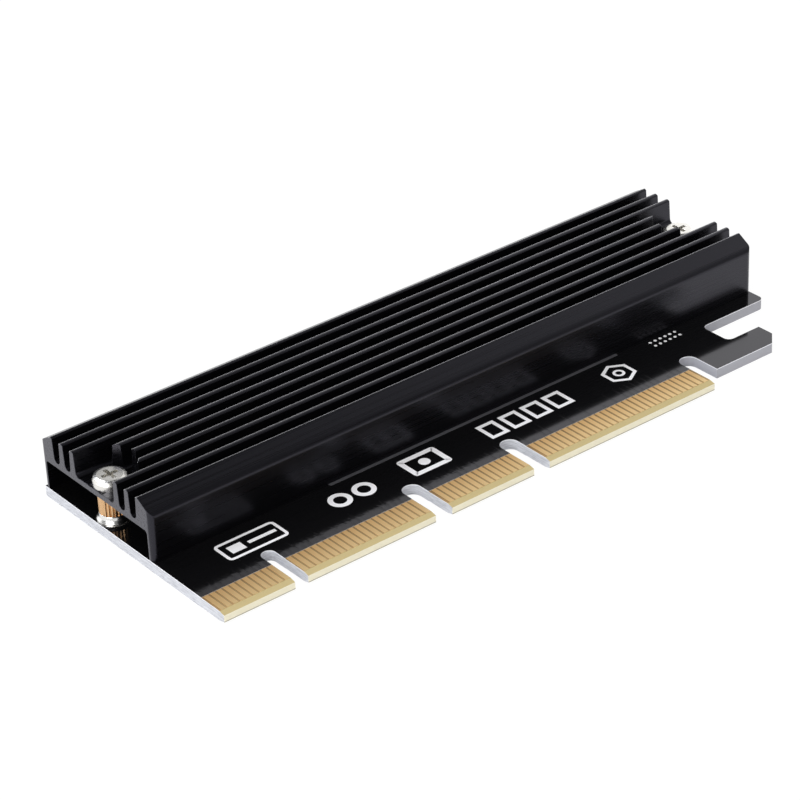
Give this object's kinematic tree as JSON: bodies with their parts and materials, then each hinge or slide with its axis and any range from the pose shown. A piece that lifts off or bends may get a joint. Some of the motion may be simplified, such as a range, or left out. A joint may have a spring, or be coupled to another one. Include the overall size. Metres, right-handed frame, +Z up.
{
  "type": "nvme adapter card",
  "caption": "Circuit card with a 16-lane edge connector, an M.2 drive socket and a black finned aluminium heatsink over the drive bay.",
  "frame": {"origin": "middle of the card's underside", "axes": "+X along the card towards the retention hook, +Y from the edge contacts to the back edge, +Z up through the heatsink"},
  "size_m": [0.1064, 0.0408, 0.0103],
  "materials": {
    "solder_mask": "glossy black solder mask on glass-epoxy board, pale cut edges",
    "gold_plating": "hard gold plate on copper",
    "black_anodised": "black anodised extruded aluminium",
    "nickel_plating": "bright nickel plate on steel",
    "bare_brass": "turned and knurled brass",
    "solder": "bright tin solder",
    "socket_plastic": "moulded black high-temperature nylon",
    "tinned_steel": "matte tin plate",
    "capacitor_ceramic": "fired tan ceramic with tinned ends",
    "resistor_ceramic": "black glaze on white ceramic with tinned ends"
  },
  "bodies": {
    "root": {"circuit_board": "solder_mask", "edge_contacts_top": "gold_plating", "edge_contacts_bottom": "gold_plating", "heatsink": "black_anodised", "heatsink_screw_left": "nickel_plating", "heatsink_screw_right": "nickel_plating", "heatsink_standoff_left": "bare_brass", "heatsink_standoff_right": "bare_brass", "standoff_solder_left": "solder", "standoff_solder_right": "solder", "m2_socket_housing": "socket_plastic", "m2_socket_upper_pins": "gold_plating", "m2_socket_lower_pins": "gold_plating", "m2_socket_anchor_front": "tinned_steel", "m2_socket_anchor_back": "tinned_steel", "drive_stud": "bare_brass", "drive_stud_screw": "nickel_plating", "ceramic_capacitor_1": "capacitor_ceramic", "ceramic_capacitor_2": "capacitor_ceramic", "ceramic_capacitor_3": "capacitor_ceramic", "ceramic_capacitor_4": "capacitor_ceramic", "ceramic_capacitor_5": "capacitor_ceramic", "ceramic_capacitor_6": "capacitor_ceramic", "bulk_capacitor_1": "capacitor_ceramic", "bulk_capacitor_2": "capacitor_ceramic", "pull_up_resistor": "resistor_ceramic"}
  },
  "joints": []
}
